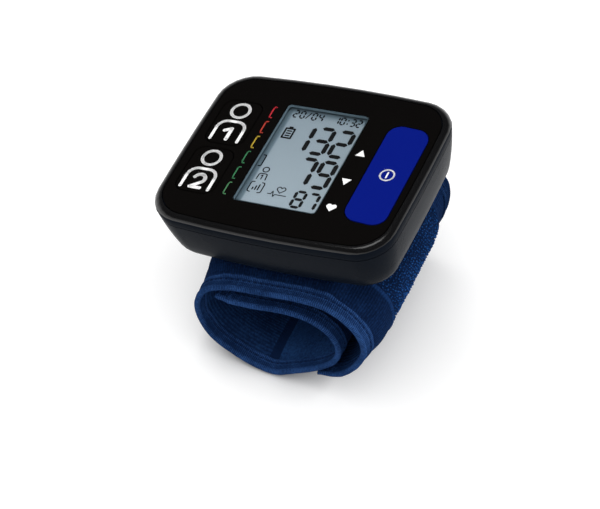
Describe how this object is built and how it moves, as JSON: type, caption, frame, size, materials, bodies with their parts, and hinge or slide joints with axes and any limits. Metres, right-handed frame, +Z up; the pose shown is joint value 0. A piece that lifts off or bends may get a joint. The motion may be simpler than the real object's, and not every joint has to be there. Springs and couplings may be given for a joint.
{
  "type": "wrist blood pressure monitor",
  "caption": "Wrist blood pressure monitor: slim housing with display window, long start key and user keys on a pre-formed wrap cuff with a fabric flap that opens.",
  "frame": {"origin": "floor point under the middle of the bounding box, with the monitor standing on the flat under its cuff", "axes": "+Y along the cuff from its front edge to its back edge, +X to the start key side, +Z up; the face is tipped 12.82 degrees about Y with the start key side up"},
  "size_m": [0.0746, 0.0628, 0.072],
  "materials": {
    "gloss_black": "high gloss",
    "satin_black": "satin",
    "charcoal": "fine matte",
    "key_blue": "gloss",
    "window": "clear",
    "display": "satin",
    "board": "solder mask",
    "steel": "brushed",
    "brass": "satin",
    "clear_plastic": "natural",
    "silicone": "soft",
    "cell": "printed sleeve",
    "navy_fabric": "ribbed knit",
    "navy_lining": "brushed knit",
    "blue_tape": "ribbed tape",
    "bladder": "matte",
    "stiffener": "smooth"
  },
  "bodies": {
    "monitor": {"front_cover": "satin_black", "face_panel": "gloss_black", "display_window": "window", "display_glass": "display", "display_frame": "satin_black", "start_stop_switch": "steel", "user_1_switch": "steel", "user_2_switch": "steel", "circuit_board": "board", "pressure_sensor": "satin_black", "release_valve": "brass", "air_manifold": "clear_plastic", "pump_motor": "steel", "pump_head": "satin_black", "air_hose": "silicone", "rear_cover": "charcoal", "housing_screw_1": "steel", "housing_screw_2": "steel", "battery_1": "cell", "battery_contact_1": "steel", "battery_spring_1": "steel", "battery_2": "cell", "battery_contact_2": "steel", "battery_spring_2": "steel", "cuff_fabric": "navy_fabric", "cuff_lining": "navy_lining", "cuff_stiffener": "stiffener", "air_bladder": "bladder", "cuff_screw_1": "steel", "cuff_screw_2": "steel", "cuff_screw_3": "steel", "cuff_screw_4": "steel", "air_nozzle": "bladder", "cuff_binding_front": "blue_tape", "cuff_binding_back": "blue_tape", "cuff_binding_end": "blue_tape"},
    "start_stop_key": {"start_stop_button": "key_blue"},
    "user_1_key": {"user_1_button": "gloss_black"},
    "user_2_key": {"user_2_button": "gloss_black"},
    "battery_door": {"battery_cover": "charcoal"},
    "cuff_flap": {"flap_fabric": "navy_fabric", "flap_lining": "navy_lining", "flap_binding_front": "blue_tape", "flap_binding_back": "blue_tape", "flap_binding_end": "blue_tape"}
  },
  "joints": [
    {"name": "start_stop_press", "type": "slide", "parent": "monitor", "child": "start_stop_key", "axis": [0.2219, 0, -0.9751], "range_m": [0, 0.0005], "stiffness_N_per_m": 400, "springref_m": -0.002},
    {"name": "user_1_press", "type": "slide", "parent": "monitor", "child": "user_1_key", "axis": [0.2219, 0, -0.9751], "range_m": [0, 0.0005], "stiffness_N_per_m": 400, "springref_m": -0.002},
    {"name": "user_2_press", "type": "slide", "parent": "monitor", "child": "user_2_key", "axis": [0.2219, 0, -0.9751], "range_m": [0, 0.0005], "stiffness_N_per_m": 400, "springref_m": -0.002},
    {"name": "battery_cover_slide", "type": "slide", "parent": "monitor", "child": "battery_door", "axis": [-0.9751, 0, -0.2219], "range_m": [0, 0.03]},
    {"name": "flap_hinge", "type": "hinge", "parent": "monitor", "child": "cuff_flap", "pos_m": [0.0245, 0, 0.04298], "axis": [0, -1, 0], "range_deg": [0, 75]}
  ]
}
